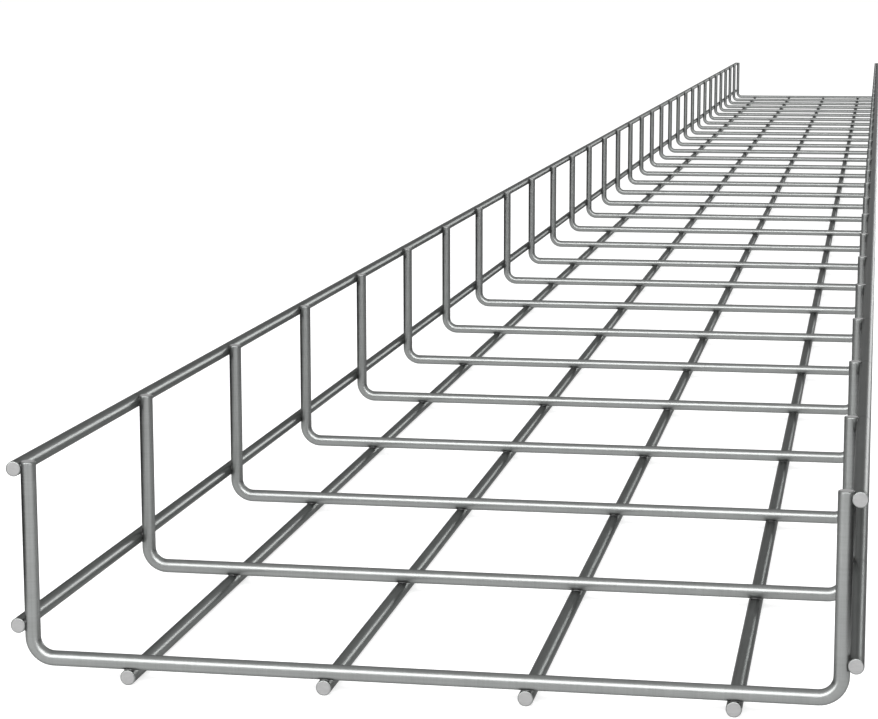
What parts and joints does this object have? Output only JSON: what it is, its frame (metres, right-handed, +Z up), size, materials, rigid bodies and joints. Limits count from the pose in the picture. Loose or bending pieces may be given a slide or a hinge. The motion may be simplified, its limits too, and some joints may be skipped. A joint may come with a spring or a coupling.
{
  "type": "wire mesh cable basket",
  "caption": "Straight open-topped cable tray welded from round steel wires: bent cross wires on long floor, side and rim wires.",
  "frame": {"origin": "on the ground under the middle of the basket, halfway along it and halfway across it", "axes": "+Y along the basket, +Z up out of its open top, +X across it to the right"},
  "size_m": [0.2106, 3, 0.0559],
  "materials": {
    "galvanised_wire": "bright zinc-coated drawn wire, satin, with cut ends of the same grey"
  },
  "bodies": {
    "root": {"rim_wire_left": "galvanised_wire", "rim_wire_right": "galvanised_wire", "side_wire_left": "galvanised_wire", "side_wire_right": "galvanised_wire", "floor_wire_01": "galvanised_wire", "floor_wire_02": "galvanised_wire", "floor_wire_03": "galvanised_wire", "floor_wire_04": "galvanised_wire", "cross_wire_01": "galvanised_wire", "cross_wire_02": "galvanised_wire", "cross_wire_03": "galvanised_wire", "cross_wire_04": "galvanised_wire", "cross_wire_05": "galvanised_wire", "cross_wire_06": "galvanised_wire", "cross_wire_07": "galvanised_wire", "cross_wire_08": "galvanised_wire", "cross_wire_09": "galvanised_wire", "cross_wire_10": "galvanised_wire", "cross_wire_11": "galvanised_wire", "cross_wire_12": "galvanised_wire", "cross_wire_13": "galvanised_wire", "cross_wire_14": "galvanised_wire", "cross_wire_15": "galvanised_wire", "cross_wire_16": "galvanised_wire", "cross_wire_17": "galvanised_wire", "cross_wire_18": "galvanised_wire", "cross_wire_19": "galvanised_wire", "cross_wire_20": "galvanised_wire", "cross_wire_21": "galvanised_wire", "cross_wire_22": "galvanised_wire", "cross_wire_23": "galvanised_wire", "cross_wire_24": "galvanised_wire", "cross_wire_25": "galvanised_wire", "cross_wire_26": "galvanised_wire", "cross_wire_27": "galvanised_wire", "cross_wire_28": "galvanised_wire", "cross_wire_29": "galvanised_wire", "cross_wire_30": "galvanised_wire", "cross_wire_31": "galvanised_wire", "cross_wire_32": "galvanised_wire"}
  },
  "joints": []
}
